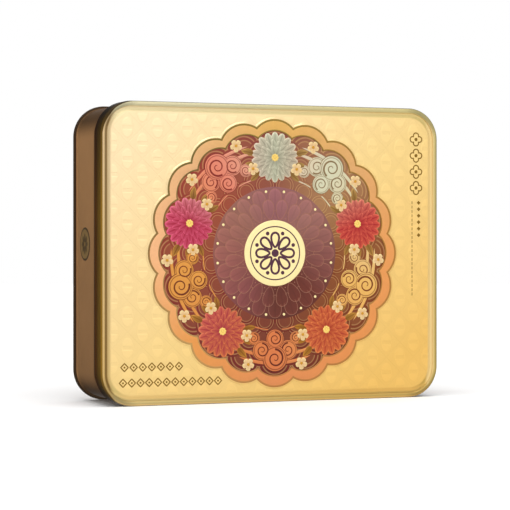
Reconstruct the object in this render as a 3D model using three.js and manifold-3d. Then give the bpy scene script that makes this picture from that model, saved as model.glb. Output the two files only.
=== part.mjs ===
// A closed gift tin for mooncakes, standing upright on one long side: a base with a seamed back,
// and a slip lid pressed with a bead, a channel, a raised panel and a scalloped medallion.
// The shut tin is solid. The lid's face looks along -Y.
// Millimetres, +Z up. The origin is under the middle of the tin, on the surface it stands on.

import * as THREE from 'three';
import { mergeVertices } from 'three/addons/utils/BufferGeometryUtils.js';
import Module from 'manifold-3d';

// ---- Driving dimensions ----

const WIDTH = 240; // along X
const HEIGHT = 196; // along Z
const DEPTH = 62; // along Y, from the lid's bead to the back seam
const CORNER_RADIUS = 21; // of the tin's outline, seen from the front

const OVERHANG = 2.0; // how far the lid and the back seam stand out from the base's wall
const GAP = 0.3; // clearance between lid and base
const LID_DEPTH = 13.6; // from the bead's crest to the end of the skirt
const LID_PLATE = 3.4; // from the bead's crest to the inside of the lid
const HEM_RADIUS = 0.8; // of the skirt's folded end

const BEAD_RADIUS = 1.8; // of the bead round the lid's face
const BEAD_FOOT = -0.3; // the angle at which the bead meets the channel
const CHANNEL_DROP = 1.7; // the channel's floor, below the bead's crest
const CHANNEL_INNER = 5.8; // from the outline to the step up to the panel
const PANEL_INSET = 7.0; // from the outline to the flat panel
const PANEL_DROP = 0.9; // the panel, below the bead's crest

const SEAM_DEPTH = 3.2; // of the double seam, along Y
const SEAM_WIDTH = 3.2; // of the double seam, from the outline inward
const SEAM_ROUND = 0.7;
const BACK_RECESS = 2.6; // the back plate, below the seam
const BACK_STEP_INSET = 11; // of the raised field in the back plate
const BACK_STEP = 0.8;
const BASE_EDGE = 1.0; // rounding of the base's hidden front edge

const LOBES = 20; // scallops round the medallion
const LOBE_CREST = 88.6; // from the medallion's middle to the top of a scallop
const LOBE_CUSP = 84.0; // from the medallion's middle to where two scallops meet
const FIELD_SHARE = 0.915; // size of the scalloped field inside the border, beside the medallion's
const BORDER_RISE = 0.7; // above the panel
const FIELD_RISE = 0.3; // of the field inside the border
const DISC_RADIUS = 44.5;
const DISC_RISE = 0.6;
const SEAL_RADIUS = 22;
const SEAL_RISE = 0.9;
const RELIEF_SLOPE = 0.5; // width of the slope at the edge of each relief
const RELIEF_ROOT = 0.5; // how deep each relief is rooted in the lid

// Facets
const CORNER_STEPS = 12; // per quarter turn of the outline
const ROUND_STEPS = 4; // per quarter turn of a small rounding
const LOBE_STEPS = 8;
const DISC_STEPS = 72;

const MIDDLE = HEIGHT / 2;
const FRONT = -DEPTH / 2;
const QUARTER = Math.PI / 2;

// ---- Outlines, each as points in X and Z round the tin's middle, anticlockwise from the front ----

function roundedRectangle(inset) {
  const radius = CORNER_RADIUS - inset;
  const points = [];
  for (let corner = 0; corner < 4; corner += 1) {
    const sideX = corner === 0 || corner === 3 ? 1 : -1;
    const sideZ = corner < 2 ? 1 : -1;
    for (let step = 0; step <= CORNER_STEPS; step += 1) {
      const angle = QUARTER * (corner + step / CORNER_STEPS);
      points.push([
        sideX * (WIDTH / 2 - CORNER_RADIUS) + radius * Math.cos(angle),
        sideZ * (HEIGHT / 2 - CORNER_RADIUS) + radius * Math.sin(angle),
      ]);
    }
  }
  return points;
}

// Arcs that meet in cusps, at a share of the medallion's size. The inset moves them inward and
// keeps every cusp on its own ray.
function scallops(share, inset) {
  const half = Math.PI / LOBES;
  const crest = LOBE_CREST * share;
  const chord = LOBE_CUSP * share * Math.sin(half);
  const rise = crest - LOBE_CUSP * share * Math.cos(half);
  const fullRadius = (chord * chord + rise * rise) / (2 * rise);
  const arcCentre = crest - fullRadius;
  const radius = fullRadius - inset;
  const reach = half + Math.asin((arcCentre * Math.sin(half)) / radius);
  const points = [];
  for (let lobe = 0; lobe < LOBES; lobe += 1) {
    const turn = QUARTER + 2 * half * lobe;
    for (let step = 0; step < LOBE_STEPS; step += 1) {
      const angle = reach * ((2 * step) / LOBE_STEPS - 1);
      points.push([
        arcCentre * Math.cos(turn) + radius * Math.cos(turn + angle),
        arcCentre * Math.sin(turn) + radius * Math.sin(turn + angle),
      ]);
    }
  }
  return points;
}

function circle(radius) {
  return Array.from({ length: DISC_STEPS }, (_, step) => {
    const angle = (2 * Math.PI * step) / DISC_STEPS;
    return [radius * Math.cos(angle), radius * Math.sin(angle)];
  });
}

// ---- Solids ----

// A closed solid through outlines of equal length, in order from its front to its back, each
// at its own depth behind the lid's crest. Both ends are closed by a fan about the middle.
function loft(sections) {
  const count = sections[0].outline.length;
  const positions = [0, FRONT + sections[0].depth, MIDDLE];
  for (const { outline, depth } of sections) {
    for (const [x, z] of outline) positions.push(x, FRONT + depth, MIDDLE + z);
  }
  positions.push(0, FRONT + sections.at(-1).depth, MIDDLE);

  const vertex = (section, index) => 1 + section * count + (index % count);
  const lastSection = sections.length - 1;
  const backMiddle = positions.length / 3 - 1;
  const faces = [];
  for (let i = 0; i < count; i += 1) {
    faces.push(0, vertex(0, i), vertex(0, i + 1));
    for (let s = 0; s < lastSection; s += 1) {
      faces.push(vertex(s, i), vertex(s + 1, i), vertex(s + 1, i + 1));
      faces.push(vertex(s, i), vertex(s + 1, i + 1), vertex(s, i + 1));
    }
    faces.push(backMiddle, vertex(lastSection, i + 1), vertex(lastSection, i));
  }

  const geometry = new THREE.BufferGeometry();
  geometry.setAttribute('position', new THREE.Float32BufferAttribute(positions, 3));
  geometry.setIndex(faces);
  return geometry;
}

// A rounding of the profile, as [inset, depth] pairs about a centre. An angle of 0 points inward,
// a quarter turn points backward, and a negative quarter turn forward.
function arc([inset, depth], radius, from, to) {
  const steps = Math.ceil((ROUND_STEPS * Math.abs(to - from)) / QUARTER);
  return Array.from({ length: steps + 1 }, (_, step) => {
    const angle = from + ((to - from) * step) / steps;
    return [inset + radius * Math.cos(angle), depth + radius * Math.sin(angle)];
  });
}

function sweep(profile) {
  return loft(profile.map(([inset, depth]) => ({ outline: roundedRectangle(inset), depth })));
}

function lidShell() {
  const skirt = OVERHANG - GAP;
  return sweep([
    [PANEL_INSET, PANEL_DROP],
    [CHANNEL_INNER, CHANNEL_DROP],
    [2 * BEAD_RADIUS, CHANNEL_DROP],
    ...arc([BEAD_RADIUS, BEAD_RADIUS], BEAD_RADIUS, BEAD_FOOT, -2 * QUARTER),
    ...arc([HEM_RADIUS, LID_DEPTH - HEM_RADIUS], HEM_RADIUS, 2 * QUARTER, QUARTER),
    [skirt, LID_DEPTH],
    [skirt, LID_PLATE],
  ]);
}

// A relief that stands out of the panel inside an outline, with a slope along its edge.
function relief(outlineAt, rise) {
  const foot = outlineAt(0);
  return loft([
    { outline: outlineAt(RELIEF_SLOPE), depth: PANEL_DROP - rise },
    { outline: foot, depth: PANEL_DROP },
    { outline: foot, depth: PANEL_DROP + RELIEF_ROOT },
  ]);
}

// What is cut from the border's relief to leave a lower field inside it.
function fieldCut(outlineAt, rise) {
  const wide = outlineAt(-RELIEF_SLOPE);
  return loft([
    { outline: wide, depth: 0 },
    { outline: wide, depth: PANEL_DROP - BORDER_RISE },
    { outline: outlineAt(0), depth: PANEL_DROP - rise },
  ]);
}

function baseBody() {
  const front = LID_PLATE + GAP;
  const seam = DEPTH - SEAM_DEPTH;
  const plate = DEPTH - BACK_RECESS;
  return sweep([
    ...arc([OVERHANG + BASE_EDGE, front + BASE_EDGE], BASE_EDGE, -QUARTER, -2 * QUARTER),
    [OVERHANG, seam],
    ...arc([SEAM_ROUND, seam + SEAM_ROUND], SEAM_ROUND, -QUARTER, -2 * QUARTER),
    ...arc([SEAM_ROUND, DEPTH - SEAM_ROUND], SEAM_ROUND, 2 * QUARTER, QUARTER),
    ...arc([SEAM_WIDTH - SEAM_ROUND, DEPTH - SEAM_ROUND], SEAM_ROUND, QUARTER, 0),
    [SEAM_WIDTH, plate],
    [BACK_STEP_INSET, plate],
    [BACK_STEP_INSET + BACK_STEP, plate + BACK_STEP],
  ]);
}

// ---- Joining and cutting ----

const manifold = await Module();
manifold.setup();

function toSolid(geometry) {
  const merged = mergeVertices(geometry, 1e-4);
  return new manifold.Manifold(
    new manifold.Mesh({
      numProp: 3,
      vertProperties: new Float32Array(merged.attributes.position.array),
      triVerts: new Uint32Array(merged.index.array),
    }),
  );
}

function toGeometry(solid) {
  const mesh = solid.getMesh();
  const geometry = new THREE.BufferGeometry();
  geometry.setAttribute('position', new THREE.BufferAttribute(mesh.vertProperties, 3));
  geometry.setIndex(new THREE.BufferAttribute(mesh.triVerts, 1));
  geometry.computeVertexNormals();
  return geometry;
}

function tinLid() {
  const border = toSolid(relief((inset) => scallops(1, inset), BORDER_RISE));
  const field = toSolid(fieldCut((inset) => scallops(FIELD_SHARE, inset), FIELD_RISE));
  const disc = toSolid(relief((inset) => circle(DISC_RADIUS - inset), DISC_RISE));
  const seal = toSolid(relief((inset) => circle(SEAL_RADIUS - inset), SEAL_RISE));
  return toGeometry(toSolid(lidShell()).add(border.subtract(field)).add(disc).add(seal));
}

// ---- Scene ----

const goldLacquer = new THREE.MeshStandardMaterial({ color: 0xf3d894, roughness: 0.38, metalness: 0.6 });
const brownLacquer = new THREE.MeshStandardMaterial({ color: 0x86664c, roughness: 0.45, metalness: 0.4 });

function piece(name, geometry, material) {
  const mesh = new THREE.Mesh(geometry, material);
  mesh.name = name;
  return mesh;
}

const tin = new THREE.Group();
tin.add(piece('tin_lid', tinLid(), goldLacquer));
tin.add(piece('tin_base', toGeometry(toSolid(baseBody())), brownLacquer));

export default tin;
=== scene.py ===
import bpy
import numpy as np
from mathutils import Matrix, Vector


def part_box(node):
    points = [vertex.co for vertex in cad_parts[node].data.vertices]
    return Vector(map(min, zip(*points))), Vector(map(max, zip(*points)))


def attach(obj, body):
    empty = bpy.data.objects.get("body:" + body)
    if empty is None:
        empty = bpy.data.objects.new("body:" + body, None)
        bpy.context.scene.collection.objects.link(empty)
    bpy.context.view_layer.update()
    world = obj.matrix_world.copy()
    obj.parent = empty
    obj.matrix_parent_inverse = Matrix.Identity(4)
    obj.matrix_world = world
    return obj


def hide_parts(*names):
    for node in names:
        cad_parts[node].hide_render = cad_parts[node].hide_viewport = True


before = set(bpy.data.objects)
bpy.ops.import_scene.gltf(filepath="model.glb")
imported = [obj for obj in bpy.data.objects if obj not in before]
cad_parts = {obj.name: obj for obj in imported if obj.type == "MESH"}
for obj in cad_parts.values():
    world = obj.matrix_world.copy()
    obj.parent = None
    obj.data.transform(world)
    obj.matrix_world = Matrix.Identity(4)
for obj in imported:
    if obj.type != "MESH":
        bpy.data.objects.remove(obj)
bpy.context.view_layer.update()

bl_info = {
    "name": "Printed Gift Tin",
    "version": (1, 0, 0),
    "blender": (4, 5, 0),
    "location": "View3D > Sidebar > Gift Tin",
    "description": "Builds a closed gift tin with an embossed, printed medallion on its slip lid",
    "category": "Mesh",
}

MM = 0.001
CM = 0.01
QUARTER = np.pi / 2
TURN = 2 * np.pi

# Places that come from the CAD nodes. The lid's face looks along -Y.
LID_LOW, LID_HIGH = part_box("tin_lid")
_, BASE_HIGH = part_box("tin_base")
WIDTH = LID_HIGH[0] - LID_LOW[0]
HEIGHT = LID_HIGH[2] - LID_LOW[2]
FRONT = LID_LOW[1]
SKIRT_END = LID_HIGH[1] - FRONT
DEPTH = BASE_HIGH[1] - FRONT
MIDDLE = (LID_LOW[2] + LID_HIGH[2]) / 2

CREASE = np.radians(38)  # edges sharper than this stay crisp
ROOT = 0.25 * MM  # how deep an embossed shape goes below its own foot
LEAST_CORNER = 6 * MM  # smallest radius of an outline drawn in from the tin's own


def linear(code):
    """An sRGB hex colour as linear RGBA: a channel c becomes c / 12.92 where it is dark, and
    ((c + 0.055) / 1.055) ** 2.4 elsewhere."""
    channel = np.array([int(code[place:place + 2], 16) for place in (1, 3, 5)]) / 255
    light = np.where(channel <= 0.04045, channel / 12.92, ((channel + 0.055) / 1.055) ** 2.4)
    return (*light.tolist(), 1.0)


def rgba(tint):
    """A hex code turned linear, an amount as a grey, or a linear colour as it is."""
    if isinstance(tint, str):
        return linear(tint)
    if isinstance(tint, (int, float)):
        return (tint, tint, tint, 1)
    return tuple(tint)


# ---- Sizes and colours that a user would change ----

def length(name, description, millimetres):
    return bpy.props.FloatProperty(
        name=name, description=description, default=millimetres * MM, unit="LENGTH", precision=5)


def colour(name, description, code):
    return bpy.props.FloatVectorProperty(
        name=name, description=description, default=linear(code), subtype="COLOR", size=4, min=0, max=1)


class TinSizes(bpy.types.PropertyGroup):
    corner_radius: length("Corner radius", "Radius of the outline's four corners", 21)
    bead_radius: length("Bead radius", "Radius of the bead round the lid's face", 1.8)
    channel_drop: length("Channel drop", "Channel's floor, below the bead's crest", 1.7)
    channel_inset: length("Channel inset", "From the outline to the step up to the panel", 5.2)
    panel_inset: length("Panel inset", "From the outline to the flat panel", 6.9)
    panel_drop: length("Panel drop", "Flat panel, below the bead's crest", 0.9)
    hem_radius: length("Hem radius", "Radius of the skirt's folded end", 0.8)
    wall_inset: length("Wall inset", "From the lid's outline in to the base's wall", 2)
    seam_depth: length("Seam depth", "Depth of the double seam round the back", 3.2)
    seam_width: length("Seam width", "From the outline in to the back plate", 3.2)
    back_recess: length("Back recess", "Back plate, below the seam", 2.6)
    back_step: length("Back step", "Height of each step in the back plate", 0.8)


class MedallionSizes(bpy.types.PropertyGroup):
    lobes: bpy.props.IntProperty(name="Lobes", description="Scallops round the medallion", default=20, min=6)
    crest: length("Crest", "From the middle to the top of a scallop", 88.6)
    cusp: length("Cusp", "From the middle to where two scallops meet", 84)
    field_share: bpy.props.FloatProperty(
        name="Field share", description="Size of the field inside the border, beside the medallion's",
        default=0.915, subtype="FACTOR", min=0.5, max=1)
    border_rise: length("Border rise", "Border, above the panel", 0.7)
    field_rise: length("Field rise", "Field inside the border, above the panel", 0.3)
    disc_radius: length("Disc radius", "Radius of the plum disc", 44.5)
    disc_rise: length("Disc rise", "Plum disc, above the panel", 0.6)
    seal_radius: length("Seal radius", "Radius of the cream seal in the middle", 22)
    seal_rise: length("Seal rise", "Cream seal, above the panel", 0.9)
    wreath_radius: length("Wreath radius", "From the middle to the flowers and clouds", 63)
    flower_radius: length("Flower radius", "From a flower's heart to its outer tips", 17)


class PrintColours(bpy.types.PropertyGroup):
    # Pale and deep gold are painted light and painted shade, lit from the upper left
    gold_pale_lit: colour("Pale gold", "Lid's lacquer at the upper left", "#e8cfa3")
    gold_warm: colour("Warm gold", "Lid's lacquer in the middle", "#e6c682")
    gold_deep_shaded: colour("Deep gold", "Lid's lacquer at the lower right", "#e1b561")
    # Painted light: the paler gold of the channel at the right
    channel_gold_lit: colour("Channel gold", "Lid's channel at the right", "#e2c688")
    # The skirt's gold and brown are painted shade
    skirt_gold_shaded: colour("Skirt gold", "Lid's skirt, beside the bead", "#84621a")
    skirt_shade_brown: colour("Skirt brown", "Lid's skirt, towards its hem", "#542c00")
    base_brown: colour("Base brown", "Wall of the base", "#a2784e")
    # Dark on the seam, and also the painted shade round the base's corners and beside the hem
    seam_and_shade_bronze: colour("Seam bronze", "Double seam and corners of the base", "#382612")
    olive_ink: colour("Olive ink", "Small ornaments on the gold", "#7a5a14")
    peach: colour("Peach", "Medallion's border at the left", "#e0a878")
    coral: colour("Coral", "Medallion's border at the foot", "#ce824e")
    amber: colour("Amber", "Medallion's border at the top", "#cea054")
    crimson: colour("Crimson", "Deepest red of the flowers", "#961a34")
    pink: colour("Pink", "Light edge of the red petals", "#dc5c7c")
    mustard: colour("Mustard", "Hearts of the blossoms", "#c08a2c")
    cream: colour("Cream", "Seal, pearls and blossoms", "#ebd99c")
    plum: colour("Plum", "Disc round the seal, at the right", "#74443e")
    mauve: colour("Mauve", "Disc round the seal, at the upper left", "#86584c")


# ---- Surfaces ----

def around(angle):
    """Points on the unit circle."""
    return np.stack([np.cos(angle), np.sin(angle)], axis=-1)


def full_turn(columns):
    """Angles that share one turn equally."""
    return TURN * np.arange(columns) / columns


def turned(points, turn):
    """Points in a plane, turned about its origin."""
    x, y = points[..., 0], points[..., 1]
    return np.stack([x * np.cos(turn) - y * np.sin(turn), x * np.sin(turn) + y * np.cos(turn)], axis=-1)


def tin_outline(inset, radius, steps=24):
    """Rounded rectangles in X and Z, a row for each inset. Each corner is a quarter circle of the
    corner radius less the inset, or of the least radius where that is more."""
    side = np.array([[1, 1], [-1, 1], [-1, -1], [1, -1]])[:, None]
    angle = QUARTER * (np.arange(4)[:, None] + np.linspace(0, 1, steps + 1))
    inset = np.asarray(inset)[:, None, None, None]
    reach = np.maximum(radius - inset, LEAST_CORNER)
    corner = side * (np.array([WIDTH, HEIGHT]) / 2 - inset - reach)
    return (corner + reach * around(angle)).reshape(len(inset), -1, 2)


def scallops(sizes, share, inset, steps=16):
    """Arcs that meet in cusps, a row for each inset. Each arc passes through two cusps and a crest
    of the medallion at the share of its size, and loses the inset from its own radius."""
    half = np.pi / sizes.lobes
    crest = sizes.crest * share
    chord = sizes.cusp * share * np.sin(half)
    rise = crest - sizes.cusp * share * np.cos(half)
    full = (chord ** 2 + rise ** 2) / (2 * rise)
    radius = full - np.asarray(inset)[:, None, None]
    reach = half + np.arcsin((crest - full) * np.sin(half) / radius)
    turn = QUARTER + 2 * half * np.arange(sizes.lobes)[:, None]
    angle = turn + reach * (2 * np.arange(steps) / steps - 1)
    points = (crest - full) * around(turn) + radius[..., None] * around(angle)
    return points.reshape(len(radius), -1, 2)


def arc(centre, radius, start, end, steps=14):
    """Points on a circle about a centre, from one angle to another."""
    return centre + radius * around(np.linspace(start, end, steps))


def rounded(corners, reach, steps=7):
    """A polyline with its inner corners rounded. Between A and B, at the reach on either side of
    corner C, the curve is (1 - t)^2 A + 2 t (1 - t) C + t^2 B."""
    corners = np.asarray(corners, float)
    ends = []
    for side in (corners[:-2] - corners[1:-1], corners[2:] - corners[1:-1]):
        size = np.linalg.norm(side, axis=-1)[:, None]
        ends.append((corners[1:-1] + np.minimum(reach, 0.45 * size) * side / size)[:, None])
    t = np.linspace(0, 1, steps)[None, :, None]
    curve = (1 - t) ** 2 * ends[0] + 2 * t * (1 - t) * corners[1:-1, None] + t ** 2 * ends[1]
    return np.concatenate([corners[:1], curve.reshape(-1, 2), corners[-1:]])


def on_panel(points, rise):
    """Points in X and Z about the middle of the lid's panel, each at its rise above the panel."""
    level = FRONT + bpy.context.scene.tin_sizes.panel_drop
    rise = np.broadcast_to(rise, points.shape[:-1])
    return np.stack([points[..., 0], level - rise, MIDDLE + points[..., 1]], axis=-1)


def on_wall(side):
    """The same for points in Y and Z on the base's wall, at the left where the side is -1 and at
    the right where it is 1."""
    def place(points, rise):
        level = WIDTH / 2 - bpy.context.scene.tin_sizes.wall_inset
        rise = np.broadcast_to(rise, points.shape[:-1])
        return np.stack([side * (level + rise), points[..., 0], MIDDLE + points[..., 1]], axis=-1)
    return place


def skin(grid, loop=False, marks=(0, 0, 0)):
    """Closed skins over grids of points, shaped copies by rows by columns: rows of point and mark
    together, and faces of four indices. Columns close on themselves. In a loop the last row joins
    the first. Otherwise a pole at the mean of each end row closes that end with triangles, whose
    fourth index is -1. A copy whose volume comes out negative has its faces turned."""
    copies, rows, columns, _ = grid.shape
    index = np.arange(rows * columns).reshape(rows, columns)
    index = np.concatenate([index, index[:, :1]], axis=1)
    if loop:
        index = np.concatenate([index, index[:1]], axis=0)
    faces = np.stack([index[:-1, :-1], index[:-1, 1:], index[1:, 1:], index[1:, :-1]], axis=-1).reshape(-1, 4)
    marked = np.concatenate([grid, np.broadcast_to(marks, grid.shape)], axis=-1)
    flat = marked.reshape(copies, -1, 6)
    if not loop:
        flat = np.concatenate([flat, marked[:, [0, -1]].mean(axis=2)], axis=1)
        pole = np.full(columns, rows * columns)
        none = np.full(columns, -1)
        first = np.stack([index[0, 1:], index[0, :-1], pole, none], axis=-1)
        last = np.stack([index[-1, :-1], index[-1, 1:], pole + 1, none], axis=-1)
        faces = np.concatenate([faces, first, last])

    points = flat[..., :3]
    corner = points[:, np.where(faces < 0, faces[:, :1], faces)]
    halves = (corner[:, :, [0, 1, 2]], corner[:, :, [0, 2, 3]])
    volume = sum(np.linalg.det(half - points[:, :1, None]).sum(axis=1) for half in halves)
    faces = np.where(volume[:, None, None] < 0, faces[:, ::-1], faces)
    step = points.shape[1] * np.arange(copies)[:, None, None]
    return flat.reshape(-1, 6), np.where(faces < 0, -1, faces + step).reshape(-1, 4)


def swept_outline(profile, radius):
    """The tin's outline carried along a profile: each point of the profile gives an inset from the
    outline and a depth behind the lid's crest. The marks hold both, in centimetres."""
    outline = tin_outline(profile[:, 0], radius)
    depth = np.broadcast_to(profile[:, 1:], outline.shape[:2])
    grid = np.stack([outline[..., 0], FRONT + depth, MIDDLE + outline[..., 1]], axis=-1)
    return skin(grid[None], marks=np.pad(profile / CM, ((0, 0), (0, 1)))[:, None])


def swept_scallops(sizes, share, profile, marks=(0, 0, 0)):
    """The medallion's scallops carried round a profile that closes on itself: each point of the
    profile gives an inset from the scallops and a rise above the panel."""
    outline = scallops(sizes, share, profile[:, 0])
    return skin(on_panel(outline, profile[:, 1:])[None], loop=True, marks=marks)


def cushions(outline, centres, sizes, turns, rises, height, crown=2, levels=5, place=on_panel):
    """Embossed patches on the panel or a wall. Ring s is the outline drawn in to the share s about its
    middle, and stands sqrt(1 - s^crown) of the height above the foot: a dome where the crown is 2,
    and a level patch with round shoulders where it is high. Each copy is scaled, turned and moved.
    The marks hold a point's place in the outline's own axes, and its share s."""
    lean = np.linspace(0, 0.93 * QUARTER, levels + 1)
    share = np.concatenate([[1], np.cos(lean) ** (2 / crown)])[:, None, None]
    lift = np.concatenate([[-ROOT], height * np.sin(lean)])[:, None]
    hub = outline.mean(axis=0)
    local = hub + share * (outline - hub)
    sizes, turns, rises = (
        np.broadcast_to(value, len(centres))[:, None, None] for value in (sizes, turns, rises))
    flat = turned(sizes[..., None] * local, turns) + centres[:, None, None]
    marks = np.concatenate([local, np.broadcast_to(share, (*local.shape[:2], 1))], axis=-1)
    return skin(place(flat, rises + lift), marks=marks)


def strokes(paths, width, height, rise, loop=False, section=8, edge=None):
    """Rounded lines on the panel. At each point of a path stands an ellipse of the line's width
    and twice its height, square to the path, so that its lower half is buried. The third mark is
    the share of the way from the line's middle to its side, or the same all over where given."""
    if loop:
        along = np.roll(paths, -1, axis=1) - np.roll(paths, 1, axis=1)
    else:
        along = np.gradient(paths, axis=1)
    along = along / np.linalg.norm(along, axis=-1, keepdims=True)
    square = np.stack([-along[..., 1], along[..., 0]], axis=-1)
    angle = full_turn(section)
    half = np.broadcast_to(np.asarray(width) / 2, paths.shape[1])[None, :, None, None]
    flat = paths[:, :, None] + half * square[:, :, None] * np.cos(angle)[:, None]
    share = np.abs(np.cos(angle)) if edge is None else np.full(section, edge)
    return skin(on_panel(flat, rise + height * np.sin(angle)), loop=loop, marks=share[:, None] * (0, 0, 1))


def make_piece(name, skins, material, stands_for=None):
    """Joins skins and their marks into one smooth mesh at the origin, which rides on the tin."""
    marked = np.concatenate([points for points, _ in skins])
    starts = np.cumsum([0] + [len(points) for points, _ in skins])
    faces = np.concatenate([
        np.where(part < 0, -1, part + start) for (_, part), start in zip(skins, starts)])
    held = faces >= 0
    corners = faces[held]

    mesh = bpy.data.meshes.new(name)
    mesh.vertices.add(len(marked))
    mesh.vertices.foreach_set("co", marked[:, :3].ravel())
    mesh.loops.add(len(corners))
    mesh.loops.foreach_set("vertex_index", corners.astype(np.int32))
    mesh.polygons.add(len(faces))
    mesh.polygons.foreach_set("loop_start", np.cumsum([0, *held.sum(axis=1)[:-1]]).astype(np.int32))
    mesh.update(calc_edges=True)
    if mesh.validate():
        raise RuntimeError(f"{name} has faces that don't hold together")
    mesh.polygons.foreach_set("use_smooth", np.ones(len(faces), bool))
    mesh.set_sharp_from_angle(angle=CREASE)
    marks = mesh.attributes.new("mark", "FLOAT_VECTOR", "POINT")
    marks.data.foreach_set("vector", marked[:, 3:].ravel())
    mesh.materials.append(material)

    piece = bpy.data.objects.new(name, mesh)
    bpy.context.scene.collection.objects.link(piece)
    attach(piece, "root")
    if stands_for:
        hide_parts(stands_for)


# ---- Outlines of the ornaments, each about one unit long, and where they stand ----

def petal(width, columns=14):
    """A petal: y runs from 0 to 1 and back as (1 - cos a) / 2, and x is sin a times a width that
    grows towards the tip."""
    angle = full_turn(columns)
    y = (1 - np.cos(angle)) / 2
    return np.stack([width / 2 * np.sin(angle) * (0.62 + 0.62 * y), y], axis=-1)


def leaf(width, columns=16):
    """A leaf with two points: x is the sine of half a turn over its length, on either side."""
    angle = full_turn(columns)
    y = (1 - np.cos(angle)) / 2
    return np.stack([np.sign(np.sin(angle)) * width / 2 * np.sin(np.pi * y), y], axis=-1)


def blossom(petals, depth, columns):
    """A small flower's outline: its radius falls by the depth wherever cos(petals * a / 2) is 0."""
    angle = full_turn(columns)
    radius = 1 - depth + depth * np.abs(np.cos(petals * (angle - QUARTER) / 2)) ** 0.7
    return radius[:, None] * around(angle)


def round_outline(columns):
    """A circle of radius 1."""
    return around(full_turn(columns))


def volute(turns, inner, outer, start, steps=40):
    """A spiral whose radius grows evenly from the inner to the outer one."""
    t = np.linspace(0, 1, steps)
    return (inner + (outer - inner) * t)[:, None] * around(start + TURN * turns * t)


def ring_of(count, radius, start=0):
    """Turns and places of members that share a ring equally, the first at the start's turn from
    the top. A member's turn points its own +Y outwards."""
    turns = start + full_turn(count)
    return turns, radius * around(QUARTER + turns)


def at_hubs(points, hubs):
    """Points in a group's own axes, turned with each hub and moved to it."""
    turns, places = hubs
    points = np.asarray(points)
    each = (-1, *[1] * (points.ndim - 1))
    copies = turned(points[None], turns.reshape(each)) + places.reshape(*each, 2)
    return copies.reshape(-1, *points.shape[1:])


def turns_at(turns, hubs):
    """Turns in a group's own axes, added to the turn of each hub."""
    return (turns + hubs[0][:, None]).ravel()


# ---- Materials: lacquered and printed tinplate ----

PEEL_SWELL = 1.5 * MM  # from swell to swell of the lacquer's orange peel
PEEL_DEPTH = 0.02 * MM
STREAK_WIDTH = 6 * MM  # of the soft streaks in the rolled sheet
STREAK_LENGTH = 50 * MM
PRESS_DEPTH = 0.12 * MM  # of a pattern pressed lightly into the sheet
FILM_SWELL = 3 * MM  # from thick to thick of a printed ink
LACQUER_CLOUD = 22 * MM  # from light to light of the base's lacquer
PAPER_GRAIN = 2.5 * MM  # of the sheet that the tin stands on


def add(tree, kind, inputs=(), out=0, stops=(), **settings):
    """Adds a shader node with its settings and colour stops, sets or links its inputs by name or
    by order, and gives back the output asked for, or all outputs where out is None. The inputs of
    a MapRange are, in order, the value, from min, from max, to min and to max."""
    made = tree.nodes.new("ShaderNode" + kind)
    for key, value in settings.items():
        setattr(made, key, value)
    for order, (position, tint) in enumerate(stops):
        elements = made.color_ramp.elements
        element = elements[order] if order < 2 else elements.new(position)
        element.position = position
        element.color = rgba(tint)
    for key, value in (inputs.items() if isinstance(inputs, dict) else enumerate(inputs)):
        if isinstance(value, bpy.types.NodeSocket):
            tree.links.new(value, made.inputs[key])
        else:
            made.inputs[key].default_value = value
    return made.outputs if out is None else made.outputs[out]


def place_on_tin(tree):
    """Object coordinates in metres, with Z from the middle of the tin: the place, its X and its Z."""
    coordinates = add(tree, "TexCoord", out="Object")
    place = add(tree, "Mapping", {"Vector": coordinates, "Location": (0, 0, -MIDDLE)})
    x, _, z = add(tree, "SeparateXYZ", (place,), out=None)
    return place, x, z


def mark_parts(tree):
    """The three parts of the mark: inset and depth on the tin's own shells, the place across and
    along and the share of the way to the edge on a cushion, and that share alone on a stroke."""
    mark = add(tree, "Attribute", attribute_name="mark", out="Vector")
    return add(tree, "SeparateXYZ", (mark,), out=None)


def round_medallion(tree, tints):
    """One tint, or tints by the direction from the medallion's middle, in degrees from -180 at the
    left through 0 at the right, which close on themselves."""
    if not isinstance(tints, dict):
        return rgba(tints)
    _, x, z = place_on_tin(tree)
    angle = add(tree, "Math", (z, x), operation="ARCTAN2")
    share = add(tree, "Math", (angle, 1 / TURN, 0.5), operation="MULTIPLY_ADD")
    stops = [(degrees / 360 + 0.5, tint) for degrees, tint in sorted(tints.items())]
    return add(tree, "ValToRGB", (share,), stops=[*stops, (1, tints[-180])])


def printed_tin(name, paint, *inks, metallic, roughness):
    """Roller-lacquered, printed tinplate. The lacquer's faint orange peel breaks up reflections,
    and the rolled sheet under it changes the gloss in soft streaks. The metallic share is how much
    of the sheet still shines through: most through gold lacquer, least through opaque cream."""
    material = bpy.data.materials.new(name)
    material.use_nodes = True
    tree = material.node_tree
    tree.nodes.clear()
    tint, pressed = paint(tree, *inks)
    place, _, _ = place_on_tin(tree)
    peel = add(tree, "TexNoise", {"Vector": place, "Scale": 1 / PEEL_SWELL, "Detail": 2.0})
    rolled = add(tree, "Mapping", {"Vector": place, "Scale": (STREAK_WIDTH / STREAK_LENGTH, 1, 1)})
    streak = add(tree, "TexNoise", {"Vector": rolled, "Scale": 1 / STREAK_WIDTH, "Detail": 3.0})
    gloss = add(tree, "MapRange", (streak, 0, 1, roughness - 0.05, roughness + 0.05))
    bump = add(tree, "Bump", {"Height": peel, "Strength": 0.35, "Distance": PEEL_DEPTH})
    if pressed is not None:
        bump = add(tree, "Bump", {
            "Height": pressed, "Strength": 0.6, "Distance": PRESS_DEPTH, "Normal": bump})
    shader = add(tree, "BsdfPrincipled", {
        "Base Color": tint, "Metallic": metallic, "Roughness": gloss, "Normal": bump,
        "Specular IOR Level": 0.25})
    add(tree, "OutputMaterial", {"Surface": shader}, out=None)
    return material


# Painted light and shade on the gold: how fast it deepens, per metre to the right and downwards:
# by about 1 from the upper left corner to the lower right one
SHADE_TO_RIGHT = 1.9
SHADE_DOWNWARDS = 2.4

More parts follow.
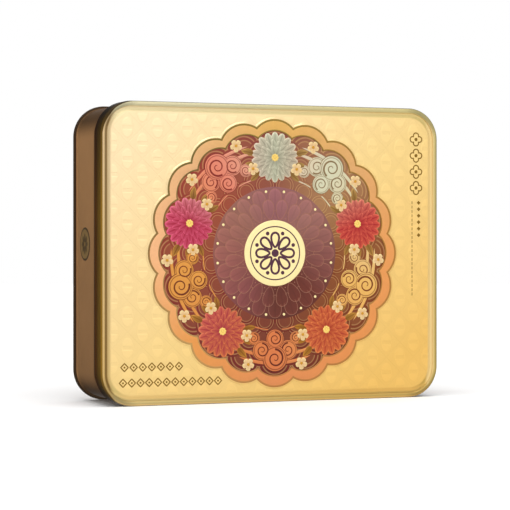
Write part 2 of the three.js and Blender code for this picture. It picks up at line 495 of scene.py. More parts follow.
# The diaper on the gold: its repeat, and its parts as shares of a repeat, each across and up.
# A pair of shares is where an edge fades out.
DIAPER_REPEAT = (20.4 * MM, 20.2 * MM)
ROUNDEL_HALF = (0.19, 0.31)
BAR_EDGE = ((0.15, 0.18), (0.05, 0.08))
LINE_EDGE = (0.012, 0.03)

# Painted shade and highlight over the lid's rim, by the inset in centimetres: the bead ends at 0.36,
# the channel at 0.52, and the step up to the panel at 0.69. The skirt's painted shade at its ends goes by the
# share of its height.
TOP_RIM_SHADE = ((0.28, "#d4e4e9"), (0.36, "#f8fcfa"), (0.48, "#dee6e0"), (0.6, "#e2ebe4"), (0.72, "#ffffff"))
FOOT_RIM_SHADE = ((0.1, "#f0f0f4"), (0.17, "#c6ced4"), (0.38, "#c6ced4"), (0.48, "#f4f2ee"), (0.68, "#ffffff"))
LEFT_RIM_SHADE = (
    (0.2, "#dcd4c8"), (0.34, "#8a7e62"), (0.43, "#8a7e62"), (0.51, "#d6d2ca"), (0.62, "#e8e6e2"),
    (0.68, "#ffffff"))
SKIRT_END_SHADE = (
    (0.04, "#969696"), (0.13, "#ffffff"), (0.65, "#ffffff"), (0.88, "#bcbcbc"), (0.96, "#606060"))


def diaper(tree, x, z):
    """A traditional diaper of upright roundels. Both axes fold at half a repeat, and a second
    roundel stands where the folds add up to more than half. The figure is 1 in a roundel, 0 on the
    bar across it and on the ground, and -0.5 on the lozenge lines between the roundels."""
    folds = []
    for place, repeat in zip((x, z), DIAPER_REPEAT):
        repeats = add(tree, "Math", (place, 1 / repeat), operation="MULTIPLY")
        folds.append(add(tree, "Math", (repeats, 0.5), operation="PINGPONG"))
    total = add(tree, "Math", folds, operation="ADD")
    second = add(tree, "Math", (total, 0.5), operation="GREATER_THAN")
    squares, bars = [], []
    for fold, half, edge in zip(folds, ROUNDEL_HALF, BAR_EDGE):
        offset = add(tree, "Math", (second, -0.5, fold), operation="MULTIPLY_ADD")
        near = add(tree, "Math", (offset,), operation="ABSOLUTE")
        share = add(tree, "Math", (near, 1 / half), operation="MULTIPLY")
        squares.append(add(tree, "Math", (share, share), operation="MULTIPLY"))
        bars.append(add(tree, "MapRange", (near, *edge, 1, 0)))
    reach = add(tree, "Math", squares, operation="ADD")
    roundel = add(tree, "MapRange", (reach, 0.85, 1.15, 1, 0))
    bar = add(tree, "Math", bars, operation="MULTIPLY")
    figure = add(tree, "Math", (roundel, bar), operation="SUBTRACT")
    slope = add(tree, "Math", (total, 0.5), operation="SUBTRACT")
    off_line = add(tree, "Math", (slope,), operation="ABSOLUTE")
    line = add(tree, "MapRange", (off_line, *LINE_EDGE, 1, 0))
    return add(tree, "Math", (line, -0.5, figure), operation="MULTIPLY_ADD")


def painted_bead_shade(tree, inset, x, z):
    """Painted shade: the bead is a third darker round the tin's corners, which is where X times Z is
    largest, and on its far side at the right."""
    product = add(tree, "Math", (x, z), operation="MULTIPLY")
    area = add(tree, "Math", (product,), operation="ABSOLUTE")
    corner = add(tree, "MapRange", (area, 0.78 * WIDTH * HEIGHT / 4, 0.85 * WIDTH * HEIGHT / 4))
    bead = add(tree, "MapRange", (inset, 0.28, 0.4, 1, 0))
    corner_bead = add(tree, "Math", (corner, bead), operation="MULTIPLY")
    right_end = add(tree, "MapRange", (x, WIDTH / 2 - 2.6 * MM, WIDTH / 2 - 1.1 * MM))
    dark = add(tree, "Math", (corner_bead, right_end), operation="MAXIMUM")
    return add(tree, "Math", (dark, -0.34, 1), operation="MULTIPLY_ADD")


def gold_lid_paint(tree, colours):
    """Warm gold lacquer with the diaper tone on tone. Painted light makes it paler to the upper left
    and deeper, in painted shade, to the lower right. Bead and channel carry painted shade and
    highlight lines, and the skirt's painted shade turns from dark gold to brown at its hem."""
    _, x, z = place_on_tin(tree)
    inset, depth, _ = mark_parts(tree)
    # Painted light: the gold is paler to the upper left and deeper, in painted shade, to the lower right.
    right = add(tree, "Math", (x, SHADE_TO_RIGHT, 0.5), operation="MULTIPLY_ADD")
    slant = add(tree, "Math", (z, -SHADE_DOWNWARDS, right), operation="MULTIPLY_ADD")
    gold = add(tree, "ValToRGB", (slant,), stops=(
        (0.15, colours.gold_pale_lit), (0.5, colours.gold_warm), (0.85, colours.gold_deep_shaded)))
    panel = add(tree, "MapRange", (inset, 0.64, 0.74))
    figure = add(tree, "Math", (diaper(tree, x, z), panel), operation="MULTIPLY")
    figure_tone = add(tree, "Math", (figure, 0.05, 1), operation="MULTIPLY_ADD")
    gold = add(tree, "MixRGB", (1, gold, figure_tone), blend_type="MULTIPLY")

    # Painted shade and highlight on bead and channel: the top, the foot and the left each have their own,
    # darkest in the left channel.
    foot, left = (
        add(tree, "MapRange", (place, 6 * MM - size / 2, 10 * MM - size / 2, 1, 0))
        for place, size in ((z, HEIGHT), (x, WIDTH)))
    top_shade, foot_shade, left_shade = (
        add(tree, "ValToRGB", (inset,), stops=stops) for stops in (TOP_RIM_SHADE, FOOT_RIM_SHADE, LEFT_RIM_SHADE))
    rim_shade = add(tree, "MixRGB", (foot, top_shade, foot_shade))
    rim_shade = add(tree, "MixRGB", (left, rim_shade, left_shade))
    gold = add(tree, "MixRGB", (1, gold, rim_shade), blend_type="MULTIPLY")
    # Painted light: the channel at the right is paler gold.
    right_side = add(tree, "MapRange", (x, WIDTH / 2 - 9 * MM, WIDTH / 2 - 7 * MM))
    channel = add(tree, "ValToRGB", (inset,), stops=((0.2, 0), (0.34, 1), (0.64, 1), (0.74, 0)))
    lit_right_channel = add(tree, "Math", (right_side, channel), operation="MULTIPLY")
    gold = add(tree, "MixRGB", (lit_right_channel, gold, colours.channel_gold_lit))
    gold = add(tree, "MixRGB", (1, gold, painted_bead_shade(tree, inset, x, z)), blend_type="MULTIPLY")

    # The skirt's painted shade, brown, reaches over the bead at the left, and most at the upper corner.
    diagonal = add(tree, "Math", (z, x), operation="SUBTRACT")
    upper_left = add(tree, "MapRange", (
        diagonal, (WIDTH + HEIGHT) / 2 - 22 * MM, (WIDTH + HEIGHT) / 2 - 15 * MM))
    reached = add(tree, "Math", (left, -0.075, inset), operation="MULTIPLY_ADD")
    reached = add(tree, "Math", (upper_left, -0.1, reached), operation="MULTIPLY_ADD")
    skirt = add(tree, "MapRange", (reached, 0.02, 0.05, 1, 0))
    # Painted shade: dark gold beside the bead turning brown towards the hem, and darker again at both ends of
    # the wall.
    hem = add(tree, "MapRange", (depth, 0.4, 1.15))
    brown = add(tree, "MixRGB", (hem, colours.skirt_gold_shaded, colours.skirt_shade_brown))
    height = add(tree, "Math", (z, 1 / HEIGHT, 0.5), operation="MULTIPLY_ADD")
    end_shade = add(tree, "ValToRGB", (height,), stops=SKIRT_END_SHADE)
    brown = add(tree, "MixRGB", (1, brown, end_shade), blend_type="MULTIPLY")
    return add(tree, "MixRGB", (skirt, gold, brown)), figure


def brown_base_paint(tree, colours):
    """Mellow brown lacquer with a slightly cloudy film, and painted light that makes it a little paler
    towards the top. It is dark on the double seam, and painted shade darkens it round the corners and
    in a line beside the hem."""
    place, _, z = place_on_tin(tree)
    inset, depth, _ = mark_parts(tree)
    # Painted shade: darker round the top and bottom corners, and in a painted shadow line beside the hem.
    lifted = add(tree, "Math", (z, 2 * MM), operation="ADD")
    height = add(tree, "Math", (lifted,), operation="ABSOLUTE")
    corner = add(
        tree, "MapRange", (height, HEIGHT / 2 - 22 * MM, HEIGHT / 2 - 8 * MM, 0, 0.85),
        interpolation_type="SMOOTHSTEP")
    hem_shadow_line = add(tree, "MapRange", (depth, 2, 2.25, 1, 0))
    wall = add(tree, "MapRange", (inset, 0.2, 0.4, 1, 0))
    seam = add(tree, "MapRange", (inset, 0.11, 0.17, 1, 0))
    dark = add(tree, "Math", (corner, hem_shadow_line), operation="MAXIMUM")
    dark = add(tree, "Math", (dark, wall), operation="MULTIPLY")
    dark = add(tree, "Math", (dark, seam), operation="MAXIMUM")
    cloud = add(tree, "TexNoise", {"Vector": place, "Scale": 1 / LACQUER_CLOUD, "Detail": 2.0})
    mottle = add(tree, "MapRange", (cloud, 0, 1, 0.9, 1.1))
    # Painted light: a little paler towards the top.
    tone = add(tree, "Math", (z, 1.6, mottle), operation="MULTIPLY_ADD")
    brown = add(tree, "MixRGB", (1, colours.base_brown, tone), blend_type="MULTIPLY")
    return add(tree, "MixRGB", (dark, brown, colours.seam_and_shade_bronze)), None


def film_paint(tree, tints, unevenness=0.06):
    """Screen-printed ink. Its film is thicker in some places, so that its tone swells a little."""
    place, _, _ = place_on_tin(tree)
    film = add(tree, "TexNoise", {"Vector": place, "Scale": 1 / FILM_SWELL, "Detail": 3.0})
    tone = add(tree, "MapRange", (film, 0, 1, 1 - unevenness, 1 + unevenness))
    return add(tree, "MixRGB", (1, round_medallion(tree, tints), tone), blend_type="MULTIPLY"), None


def banded_paint(tree, body, line, bands):
    """Two inks in concentric bands: at each share of the way to the edge, how much of the line's
    ink lies over the body's."""
    _, _, share = mark_parts(tree)
    band = add(tree, "ValToRGB", (share,), stops=bands)
    return add(tree, "MixRGB", (band, round_medallion(tree, body), round_medallion(tree, line))), None


def petal_paint(tree, deep, pale):
    """Two inks that blend: deep at a petal's heart and on its midrib, pale at its tip and edge."""
    across, along, share = mark_parts(tree)
    tip = add(tree, "MapRange", (along, 0.15, 0.95))
    edge = add(tree, "MapRange", (share, 0.75, 1))
    side = add(tree, "Math", (across,), operation="ABSOLUTE")
    midrib = add(tree, "MapRange", (side, 0, 0.05, -0.35, 0))
    amount = add(tree, "Math", (tip, 0.45, midrib), operation="MULTIPLY_ADD")
    amount = add(tree, "Math", (edge, 0.5, amount), operation="MULTIPLY_ADD", use_clamp=True)
    return add(tree, "MixRGB", (amount, round_medallion(tree, deep), round_medallion(tree, pale))), None


# ---- Operators ----

class TIN_OT_lid(bpy.types.Operator):
    """Build the slip lid: bead, channel, raised panel, skirt, groove and folded hem"""

    bl_idname = "gift_tin.lid"
    bl_label = "Lid"

    def execute(self, context):
        sizes = context.scene.tin_sizes
        bead = sizes.bead_radius
        hem = sizes.hem_radius
        bead_foot = -0.3  # angle at which the bead meets the channel
        groove = 0.3 * MM  # depth of the groove rolled in beside the hem
        face = rounded([
            (sizes.panel_inset + 8 * MM, sizes.panel_drop),
            (sizes.panel_inset, sizes.panel_drop),
            (sizes.channel_inset, sizes.channel_drop),
            (2 * bead, sizes.channel_drop),
            (2 * bead - 0.08 * MM, bead - 0.5 * MM),  # only leads into the bead
        ], 0.5 * MM)
        skirt = rounded([
            (0, bead + 0.2 * MM),
            (0, SKIRT_END - 2.6 * MM),
            (groove, SKIRT_END - 2.2 * MM),
            (groove, SKIRT_END - 1.9 * MM),
            (0.02 * MM, SKIRT_END - 1.5 * MM),
        ], 0.3 * MM)
        profile = np.concatenate([
            face[:-1],
            arc((bead, bead), bead, bead_foot, -2 * QUARTER, 22),
            skirt,
            arc((hem, SKIRT_END - hem), hem, 2 * QUARTER, 0),
            [(2 * hem, 3.6 * MM), (5 * hem, 3.4 * MM)],  # along the skirt's inner side to the lid's
        ])
        # Gold lacquer over tinplate: satin, and warmed by the sheet's own shine
        lacquer = printed_tin(
            "gold_lacquered_tinplate", gold_lid_paint, context.scene.print_colours,
            metallic=0.55, roughness=0.36)
        shell = swept_outline(profile, sizes.corner_radius)
        make_piece("lid_shell", [shell], lacquer, stands_for="tin_lid")
        return {"FINISHED"}


class TIN_OT_base(bpy.types.Operator):
    """Build the base: wall, double seam, and a back plate with two steps and a bead"""

    bl_idname = "gift_tin.base"
    bl_label = "Base"

    def execute(self, context):
        sizes = context.scene.tin_sizes
        wall = sizes.wall_inset
        mouth = 3.7 * MM  # the wall's front edge, inside the lid
        seam = DEPTH - sizes.seam_depth
        plate, step, bead = DEPTH - sizes.back_recess + sizes.back_step * np.arange(3)
        profile = rounded([
            (wall + 4 * MM, mouth), (wall, mouth), (wall, seam),
            (0, seam), (0, DEPTH), (sizes.seam_width, DEPTH), (sizes.seam_width, plate),
            (11 * MM, plate), (11.8 * MM, step),
            (25 * MM, step), (26 * MM, bead), (29 * MM, bead), (30 * MM, step), (34 * MM, step),
        ], 0.8 * MM)
        # Brown lacquer over tinplate: thicker and softer than the gold, so that less of the sheet shines
        lacquer = printed_tin(
            "brown_lacquered_tinplate", brown_base_paint, context.scene.print_colours,
            metallic=0.4, roughness=0.45)
        shell = swept_outline(profile, sizes.corner_radius)
        make_piece("base_shell", [shell], lacquer, stands_for="tin_base")
        return {"FINISHED"}


class TIN_OT_border(bpy.types.Operator):
    """Build the medallion's scalloped border, its gold rim and its two ink lines"""

    bl_idname = "gift_tin.border"
    bl_label = "Medallion border"

    def execute(self, context):
        sizes = context.scene.medallion_sizes
        colours = context.scene.print_colours
        top = sizes.border_rise

        # The border blends from the outer scallops to the field's, in a low arch.
        steps = np.linspace(0, 1, 9)
        share = np.array([0, *steps, 1])[:, None, None]
        rise = np.array([-ROOT, *(top + 0.12 * MM * np.sin(np.pi * steps) ** 0.6), -ROOT])[:, None]
        outer = scallops(sizes, 1, [0.8 * MM])
        inner = scallops(sizes, sizes.field_share, [0])
        band = skin(on_panel((1 - share) * outer + share * inner, rise)[None], loop=True)
        border_tints = {
            -180: colours.peach, -135: "#d48e48", -90: colours.coral, -45: "#d28648", 0: "#d69050",
            45: "#cc9a62", 90: colours.amber, 135: "#d0a070"}
        # Thin screen-printed ink, through which the sheet glints a little
        peach = printed_tin(
            "peach_print_on_tinplate", film_paint, border_tints, metallic=0.3, roughness=0.38)
        make_piece("medallion_border", [band], peach)

        # The rim is left bare in the lid's own gold lacquer, and catches the light on its slope.
        slope = np.array([
            (-1.2 * MM, -ROOT), (-1.0 * MM, 0.02 * MM), (-0.3 * MM, 0.55 * top), (0.5 * MM, top),
            (1.2 * MM, top), (1.2 * MM, -ROOT)])
        gold = printed_tin("gold_rim_lacquer", gold_lid_paint, colours, metallic=0.55, roughness=0.36)
        make_piece("medallion_rim", [swept_scallops(sizes, 1, slope, marks=(1, 1, 1))], gold)

        outer_line = (0.8 * MM, top) + (0.7 * MM, 0.18 * MM) * round_outline(8)
        inner_line = (0, top - 0.05 * MM) + (0.45 * MM, 0.2 * MM) * round_outline(8)
        lines = [
            swept_scallops(sizes, 1, outer_line), swept_scallops(sizes, sizes.field_share, inner_line)]
        line_tints = {
            -180: "#8a6a3a", -135: "#b08a50", -90: "#a8703a", 0: "#a07030", 90: "#8a7030", 135: "#6a5a2a"}
        # Olive ink that stands up in a bead, as screen printing leaves at a line, with a dull shine
        olive = printed_tin("olive_ink_line", film_paint, line_tints, metallic=0.3, roughness=0.4)
        make_piece("medallion_lines", lines, olive)
        return {"FINISHED"}


class TIN_OT_field(bpy.types.Operator):
    """Build the medallion's field and the rows of small waves that cover it"""

    bl_idname = "gift_tin.field"
    bl_label = "Medallion field"

    def execute(self, context):
        sizes = context.scene.medallion_sizes
        edge = scallops(sizes, sizes.field_share, [0, 0])
        outline = np.concatenate([edge, 0.9 * edge[:1]])
        rise = np.array([-ROOT, sizes.field_rise, sizes.field_rise])[:, None]
        ground = {
            -180: "#803222", -135: "#70261e", -90: "#641e16", -45: "#703012", 0: "#7a3e18",
            45: "#946a46", 90: "#7a3c32", 135: "#883426"}
        # Dark, nearly opaque ink, so that the field stays deep behind what lies on it
        terracotta = printed_tin("terracotta_print", film_paint, ground, metallic=0.25, roughness=0.4)
        make_piece("medallion_field", [skin(on_panel(outline, rise)[None])], terracotta)

        # Each row of waves is smaller than the one outside it by the same share.
        waves = []
        for row in range(6):
            radius = 70.6 * MM * 0.915 ** row
            turns, centres = ring_of(sizes.lobes, radius, row * np.pi / sizes.lobes)
            waves.append(cushions(
                round_outline(36), centres, 0.176 * radius, turns,
                sizes.field_rise + 0.03 * MM * row, 0.1 * MM, crown=5, levels=2))
        gilt = 0.3 * np.array(linear("#e8bc78"))
        lines = {degrees: 0.7 * np.array(linear(code)) + gilt for degrees, code in ground.items()}
        bands = (
            (0, 0.15), (0.5, 0.15), (0.53, 0.8), (0.56, 0.8), (0.59, 0), (0.7, 0), (0.73, 0.8),
            (0.77, 0.8), (0.8, 0), (0.92, 0), (0.95, 1))
        # The same ink, with thin gold lines over it that read as fine gilt waves
        wave = printed_tin("wave_print", banded_paint, ground, lines, bands, metallic=0.25, roughness=0.4)
        make_piece("wave_scales", waves, wave)
        return {"FINISHED"}


class TIN_OT_flowers(bpy.types.Operator):
    """Build five chrysanthemums with their hearts and leaves"""

    bl_idname = "gift_tin.flowers"
    bl_label = "Flowers and leaves"

    def execute(self, context):
        sizes = context.scene.medallion_sizes
        colours = context.scene.print_colours
        hubs = ring_of(5, sizes.wreath_radius)
        reach = sizes.flower_radius
        base = sizes.field_rise + 0.12 * MM

        # Three layers of petals. Each inner one is shorter, stands higher and is turned a little.
        layers = []
        for count, start, tip, width, lift in (
            (18, 0.24, 1.0, 0.42, 0.0), (14, 0.16, 0.74, 0.46, 0.11), (10, 0.08, 0.5, 0.56, 0.22),
        ):
            turns, places = ring_of(count, start * reach, lift)
            layers.append(cushions(
                petal(width), at_hubs(places, hubs), (tip - start) * reach, turns_at(turns, hubs),
                base + lift * MM, 0.26 * MM, levels=4))
        deep = {
            -180: colours.crimson, -126: "#983034", -54: "#9c361c", 18: "#981c20", 90: "#8c8c76",
            162: colours.crimson}
        pale = {
            -180: colours.pink, -126: "#d87c40", -54: "#e08040", 18: "#dc6048", 90: "#d8d6b8",
            162: colours.pink}
        # Opaque inks, one flower to a colour, with the soft shine of an embossed print
        petals = printed_tin("petal_print", petal_paint, deep, pale, metallic=0.2, roughness=0.38)
        make_piece("chrysanthemums", layers, petals)

        _, places = ring_of(8, 0.1 * reach)
        hearts = cushions(
            round_outline(10), at_hubs([*places, (0, 0)], hubs), 0.9 * MM, 0, base + 0.34 * MM, 0.22 * MM,
            levels=3)
        # Dots of gold ink, thin enough for the sheet to sparkle through
        beads = printed_tin("gold_bead_print", film_paint, "#e8c468", metallic=0.5, roughness=0.35)
        make_piece("flower_hearts", [hearts], beads)

        spread = np.radians([-132, -106, -80, 80, 106, 132])
        leaves = cushions(
            leaf(0.44), at_hubs(0.8 * reach * around(QUARTER + spread), hubs), 11 * MM,
            turns_at(spread, hubs), base - 0.04 * MM, 0.26 * MM, levels=4)
        olive = {-180: "#744414", -60: "#80500c", 60: "#785828"}
        ochre = {-180: "#cc943a", -60: "#cc8c2c", 60: "#c4a05c"}
        # Olive and ochre inks over the gold, which keeps some of its shine
        leaf_print = printed_tin("leaf_print", petal_paint, olive, ochre, metallic=0.3, roughness=0.38)
        make_piece("leaves", [leaves], leaf_print)
        return {"FINISHED"}


class TIN_OT_clouds(bpy.types.Operator):
    """Build five banded clouds with curled scrolls, and the blossoms between them"""

    bl_idname = "gift_tin.clouds"
    bl_label = "Clouds and blossoms"

    def execute(self, context):
        sizes = context.scene.medallion_sizes
        colours = context.scene.print_colours
        wreath = sizes.wreath_radius
        hubs = ring_of(5, wreath, TURN / 10)
        base = sizes.field_rise + 0.1 * MM

        # A cloud's lobes: X, Y, radius, and the way that the scroll on it curls
        lobes = (
            (-15, -7, 4.4, -1), (-9.2, 1, 6.8, -1), (15, -7, 4.4, 1), (9.2, 1, 6.8, 1),
            (0, -6.5, 6.4, 1), (0, 6.5, 8.8, 1))
        clouds = []
        for order, (x, y, size, curl) in enumerate(lobes):
            rise = base + 0.04 * MM * order
            radius = size * MM
            middle = np.array([(x, y)]) * MM
            clouds.append(cushions(
                round_outline(36), at_hubs(middle, hubs), radius, hubs[0], rise, 0.22 * MM, crown=5))
            scroll = volute(1.6, 0.1 * radius, 0.7 * radius, 0.15 * TURN) * (curl, 1) + middle
            taper = np.linspace(0.35, 1, len(scroll)) * 0.16 * radius
            clouds.append(strokes(at_hubs(scroll[None], hubs), taper, 0.1 * MM, rise + 0.2 * MM, edge=1))

        # Tails trail off round the wreath: how far out of it each lies, and the angles of its ends.
        along = np.linspace(0, 1, 24)
        for side in (-1, 1):
            for offset, start, end in ((9.5, 0.1, 0.36), (4.5, 0.16, 0.44), (-12.5, 0.1, 0.38)):
                angle = QUARTER - side * (start + (end - start) * along)
                tail = (wreath + offset * MM) * around(angle) - (0, wreath)
                clouds.append(strokes(
                    at_hubs(tail[None], hubs), 2.6 * MM * (1 - along ** 3), 0.2 * MM, base - 0.05 * MM))
        body = {
            -180: "#cc8a3c", -162: "#cc8a3c", -90: "#c87040", -18: "#d8a858", 54: "#c4c2a4",
            126: "#cf7860"}
        line = {-180: "#6a3010", -90: "#5c2010", -18: "#70340e", 54: "#806c4a", 126: "#7c2820"}
        bands = ((0, 0), (0.78, 0), (0.81, 0.7), (0.85, 0.7), (0.88, 0.05), (0.94, 0.05), (0.965, 1))
        # Warm inks with dark lines printed over them: satin, with a little of the sheet's shine
        cloud = printed_tin("cloud_print", banded_paint, body, line, bands, metallic=0.3, roughness=0.38)
        make_piece("clouds", clouds, cloud)

        spots = np.array([(-20, -9), (20, -9), (-19, 10), (19, 10)]) * MM
        turns, places = ring_of(5, 0.5 * MM)
        centres = at_hubs((spots[:, None] + places).reshape(-1, 2), hubs)
        blossoms = cushions(
            petal(0.92, 12), centres, 3.7 * MM, turns_at(np.tile(turns, len(spots)), hubs),
            base + 0.16 * MM, 0.24 * MM, levels=3)
        hearts = cushions(
            round_outline(10), at_hubs(spots, hubs), 1.0 * MM, 0, base + 0.34 * MM, 0.2 * MM, levels=3)
        # Opaque cream ink, duller than the rest, and mustard dots that shine a little
        cream = printed_tin(
            "cream_print", petal_paint, "#cfa878", colours.cream, metallic=0.2, roughness=0.4)
        mustard = printed_tin("mustard_print", film_paint, colours.mustard, metallic=0.3, roughness=0.4)
        make_piece("blossoms", [blossoms], cream)
        make_piece("blossom_hearts", [hearts], mustard)
        return {"FINISHED"}


class TIN_OT_disc(bpy.types.Operator):
    """Build the plum disc with its petals and filigree, and the cream seal with pearls and rosette"""

    bl_idname = "gift_tin.disc"
    bl_label = "Disc and seal"

    def execute(self, context):
        sizes = context.scene.medallion_sizes
        colours = context.scene.print_colours
        middle = np.zeros((1, 2))
        reach = sizes.disc_radius
        level = sizes.disc_rise
        top = sizes.seal_rise

        plate = cushions(round_outline(144), middle, reach, 0, 0, level, crown=90)
        tints = {
            -180: "#844e46", -130: "#743e3c", -90: "#58291f", -45: "#5e2a20", 0: colours.plum,
            45: "#885a52", 90: "#845254", 135: colours.mauve}
        # Two coats of plum ink, deep and even, with a quiet shine
        plum = printed_tin("plum_print", film_paint, tints, metallic=0.25, roughness=0.4)
        make_piece("plum_disc", [plate], plum)

        # Two rows of petals: where each starts and ends on the disc's radius, its turn and its lift
        petals, filigree = [], []
        for start, tip, turn, lift in ((0.62, 0.96, 0, 0), (0.5, 0.8, TURN / 40, 0.05 * MM)):
            turns, centres = ring_of(20, start * reach, turn)
            size = (tip - start) * reach
            petals.append(cushions(
                petal(0.66, 18), centres, size, turns, level + lift, 0.12 * MM, levels=4))
            edges = at_hubs(size * petal(0.62, 28)[None], (turns, centres))
            filigree.append(strokes(
                edges, 0.3 * MM, 0.05 * MM, level + lift + 0.08 * MM, loop=True, section=6))
        lighter = {degrees: np.minimum(1.5 * np.array(rgba(tint)), 1) for degrees, tint in tints.items()}
        # The same ink, and half as light again where its coat thins out at the petals' tips
        petal_print = printed_tin(
            "plum_petal_print", petal_paint, tints, lighter, metallic=0.25, roughness=0.4)
        make_piece("disc_petals", petals, petal_print)

        _, dots = ring_of(40, 0.535 * reach)
        filigree.append(cushions(round_outline(10), dots, 0.4 * MM, 0, level, 0.12 * MM, levels=3))
        # Ink with bronze powder in it, so that its hairlines and dots glint
        rose_gold = printed_tin("rose_gold_print", film_paint, "#946450", metallic=0.45, roughness=0.36)
        make_piece("disc_filigree", filigree, rose_gold)

        seal = cushions(round_outline(96), middle, sizes.seal_radius, 0, 0, top, crown=50)
        _, spots = ring_of(20, 0.92 * reach, TURN / 40)
        pearls = cushions(round_outline(14), spots, 0.9 * MM, 0, level, 0.3 * MM, levels=4)
        # Cream ink over white, opaque and even: the flattest print on the tin
        cream = printed_tin(
            "cream_seal_print", film_paint, colours.cream, 0.04, metallic=0.15, roughness=0.42)
        make_piece("seal_disc", [seal, pearls], cream)

        loops = at_hubs(9.5 * MM * petal(0.6, 32)[None], ring_of(8, 4 * MM))
        _, dots = ring_of(8, 14 * MM, TURN / 16)
        rosette = [
            strokes(loops, 1.5 * MM, 0.05 * MM, top, loop=True),
            cushions(round_outline(12), dots, 1.3 * MM, 0, top, 0.06 * MM, levels=3),
            cushions(round_outline(20), middle, 2.6 * MM, 0, top, 0.07 * MM, levels=3),
            strokes(17.5 * MM * round_outline(72)[None], 0.8 * MM, 0.05 * MM, top, loop=True),
        ]
        # Dark ink in raised lines, which stay matt on the cream
        ink = printed_tin("plum_ink", film_paint, "#4a2838", metallic=0.15, roughness=0.42)
        make_piece("seal_rosette", rosette, ink)
        return {"FINISHED"}


class TIN_OT_ornaments(bpy.types.Operator):
    """Build the small olive ornaments at the panel's right and lower left"""

    bl_idname = "gift_tin.ornaments"
    bl_label = "Panel ornaments"

    def execute(self, context):
        ink = 0.05 * MM  # thickness of the ink

        # A column of four rosettes, with a line of dashes and a row of dots below it
        column = np.linspace((104, 77), (104, 44), 4) * MM
        dashes = np.linspace((101, 34), (101, -28), 22)[:, None] + np.linspace((0, -1), (0, 1), 5)
        dots = np.linspace((106, 34), (106, 12), 6) * MM
        parts = [
            strokes(column[:, None] + 4.4 * MM * blossom(4, 0.45, 48), 0.85 * MM, ink, 0, loop=True),
            cushions(round_outline(12), column, 1.2 * MM, 0, 0, ink, levels=3),
            strokes(dashes * MM, 0.55 * MM, ink, 0),
            cushions(blossom(4, 0.3, 16), dots, 1.3 * MM, 0, 0, ink, levels=2),
        ]

        # Two chains of lozenges, with five points on each side between the tips
        tips = np.array([(2.5, 0), (0, 2.6), (-2.5, 0), (0, -2.6)]) * MM
        lozenge = np.linspace(tips, np.roll(tips, -1, axis=0), 6, endpoint=False, axis=1).reshape(-1, 2)
        for left, right, height, count in ((-104, -67, -73, 7), (-105, -40, -83, 12)):
            middles = np.linspace((left, height), (right, height), count) * MM
            parts.append(strokes(middles[:, None] + lozenge, 0.8 * MM, ink, 0, loop=True))
            parts.append(cushions(round_outline(10), middles, 0.7 * MM, 0, 0, ink, levels=2))
        # Olive ink, matt beside the lacquer, which shines faintly through it
        tint = context.scene.print_colours.olive_ink
        olive = printed_tin("olive_ink", film_paint, tint, metallic=0.3, roughness=0.42)
        make_piece("panel_ornaments", parts, olive)
        return {"FINISHED"}


class TIN_OT_roundels(bpy.types.Operator):
    """Build the dark roundel with its rosette on each side wall"""

    bl_idname = "gift_tin.roundels"
    bl_label = "Side roundels"

    def execute(self, context):
        middle = np.array([(10, 6)]) * MM
        turns, places = ring_of(8, 1.2 * MM)
        roundels, rosettes = [], []
        for side in (-1, 1):
            roundels.append(cushions(
                round_outline(64), middle, 11 * MM, 0, 0, 0.2 * MM, crown=20, levels=6,
                place=on_wall(side)))
            rosettes.append(cushions(
                petal(0.62), middle + places, 6 * MM, turns, 0.18 * MM, 0.16 * MM, levels=4,
                place=on_wall(side)))
        dark, pale = "#4e3e28", "#8c7044"
        bands = ((0, 0), (0.76, 0), (0.79, 1), (0.86, 1), (0.89, 0))
        # Bronze inks over the brown lacquer, and as dull as it is
        bronze = printed_tin("bronze_print", banded_paint, dark, pale, bands, metallic=0.4, roughness=0.45)
        pale_bronze = printed_tin(
            "pale_bronze_print", petal_paint, dark, pale, metallic=0.4, roughness=0.45)
        make_piece("side_roundels", roundels, bronze)
        make_piece("side_rosettes", rosettes, pale_bronze)
        return {"FINISHED"}


# ---- Stage ----

def studio_floor(scene):
    """A round sheet of matt white paper, whose fine grain takes the edge off its white. It is kept
    out of mirrored rays, so that the lid doesn't show it as a bright band."""
    material = bpy.data.materials.new("matt_white_paper")
    material.use_nodes = True
    tree = material.node_tree
    tree.nodes.clear()
    grain = add(tree, "TexNoise", {"Vector": add(tree, "TexCoord", out="Object"), "Scale": 1 / PAPER_GRAIN})
    white = add(tree, "MapRange", (grain, 0, 1, 0.9, 0.92))
    shader = add(tree, "BsdfPrincipled", {"Base Color": white, "Roughness": 0.9})
    add(tree, "OutputMaterial", {"Surface": shader}, out=None)

    rim = np.pad(3.5 * round_outline(96), ((0, 0), (0, 1)))
    mesh = bpy.data.meshes.new("studio_floor")
    mesh.from_pydata(rim.tolist(), [], [list(range(len(rim)))])
    mesh.materials.append(material)
    floor = bpy.data.objects.new("studio_floor", mesh)
    scene.collection.objects.link(floor)
    floor.visible_glossy = False


def studio_world(scene):
    """A white tent, plain white to the camera. As a light it has two soft dark flags behind the
    tin: the left wall mirrors the first, and the right slopes of bead and relief the second."""
    world = bpy.data.worlds.new("studio")
    world.use_nodes = True
    tree = world.node_tree
    tree.nodes.clear()
    direction = add(tree, "TexCoord", out="Generated")
    shades = []
    for heading, darkness in ((-22, 0.95), (64, 0.5)):
        flag = (np.sin(np.radians(heading)), np.cos(np.radians(heading)), 0)
        facing = add(tree, "VectorMath", (direction, flag), out="Value", operation="DOT_PRODUCT")
        shades.append(add(
            tree, "MapRange", (facing, 0.62, 0.86, 1, 1 - darkness), interpolation_type="SMOOTHSTEP"))
    glow = add(tree, "Math", shades, operation="MULTIPLY")
    seen = add(tree, "LightPath", out="Is Camera Ray")
    glow = add(tree, "Math", (glow, seen), operation="MAXIMUM")
    light = add(tree, "Background", {"Color": (1, 1, 1, 1), "Strength": glow})
    add(tree, "OutputWorld", {"Surface": light}, out=None)
    scene.world = world


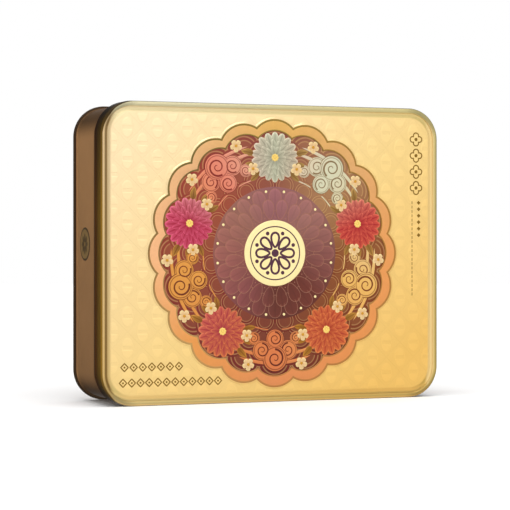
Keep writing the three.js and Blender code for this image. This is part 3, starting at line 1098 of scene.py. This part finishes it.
def studio_lamps(scene):
    """A softbox in front of the tin, and a wide diffuser above it, both turned to its middle."""
    for name, kind, place, power, extent, amount in (
        ("key_softbox", "AREA", (0.3, -1.7, 0.7), 2.4, "size", 0.7),
        ("sky_diffuser", "SUN", (-0.2, -0.6, 1.6), 1.35, "angle", np.radians(50)),
    ):
        light = bpy.data.lights.new(name, kind)
        light.energy = power
        setattr(light, extent, amount)
        lamp = bpy.data.objects.new(name, light)
        lamp.location = place
        x, y, z = np.array([0, 0, MIDDLE]) - place
        lamp.rotation_euler = (np.arctan2(np.hypot(x, y), -z), 0, np.arctan2(-x, y))
        lamp.visible_camera = False
        scene.collection.objects.link(lamp)


def studio_camera(scene):
    """A long lens a little above the tin's middle, 22 degrees round to its left. It looks level, so
    that uprights stay upright, and its shift places the tin in the frame."""
    frame_size = 510  # pixels
    lens = bpy.data.cameras.new("camera")
    lens.lens = 137.65
    lens.sensor_width = 36
    lens.shift_x = -2.5 / frame_size
    lens.shift_y = -14 / frame_size
    camera = bpy.data.objects.new("camera", lens)
    camera.location = (-0.4934, -1.2181, 0.106)
    camera.rotation_euler = (QUARTER, 0, -np.radians(22.05))
    scene.collection.objects.link(camera)
    scene.camera = camera
    scene.view_settings.view_transform = "Standard"


class TIN_OT_stage(bpy.types.Operator):
    """Build the pale floor, the white surroundings, the soft lamps and the camera"""

    bl_idname = "gift_tin.stage"
    bl_label = "Stage"

    def execute(self, context):
        for build in (studio_floor, studio_world, studio_lamps, studio_camera):
            build(context.scene)
        return {"FINISHED"}


# ---- Add-on ----

class TIN_PT_panel(bpy.types.Panel):
    """Lists the tin's sizes, colours and building steps"""

    bl_idname = "TIN_PT_panel"
    bl_label = "Gift Tin"
    bl_space_type = "VIEW_3D"
    bl_region_type = "UI"
    bl_category = "Gift Tin"

    def draw(self, context):
        for group in (context.scene.tin_sizes, context.scene.medallion_sizes, context.scene.print_colours):
            box = self.layout.box()
            for name in group.__annotations__:
                box.prop(group, name)
        for step in STEPS:
            self.layout.operator(step.bl_idname)


GROUPS = {"tin_sizes": TinSizes, "medallion_sizes": MedallionSizes, "print_colours": PrintColours}
STEPS = (
    TIN_OT_lid, TIN_OT_base, TIN_OT_border, TIN_OT_field, TIN_OT_flowers, TIN_OT_clouds,
    TIN_OT_disc, TIN_OT_ornaments, TIN_OT_roundels, TIN_OT_stage,
)


def register():
    for made in (*GROUPS.values(), *STEPS, TIN_PT_panel):
        bpy.utils.register_class(made)
    for name, group in GROUPS.items():
        setattr(bpy.types.Scene, name, bpy.props.PointerProperty(type=group))


def unregister():
    for name in GROUPS:
        delattr(bpy.types.Scene, name)
    for made in reversed((*GROUPS.values(), *STEPS, TIN_PT_panel)):
        bpy.utils.unregister_class(made)


def main():
    register()
    for step in STEPS:
        getattr(bpy.ops.gift_tin, step.bl_idname.split(".")[1])()


if __name__ == "__main__":
    main()
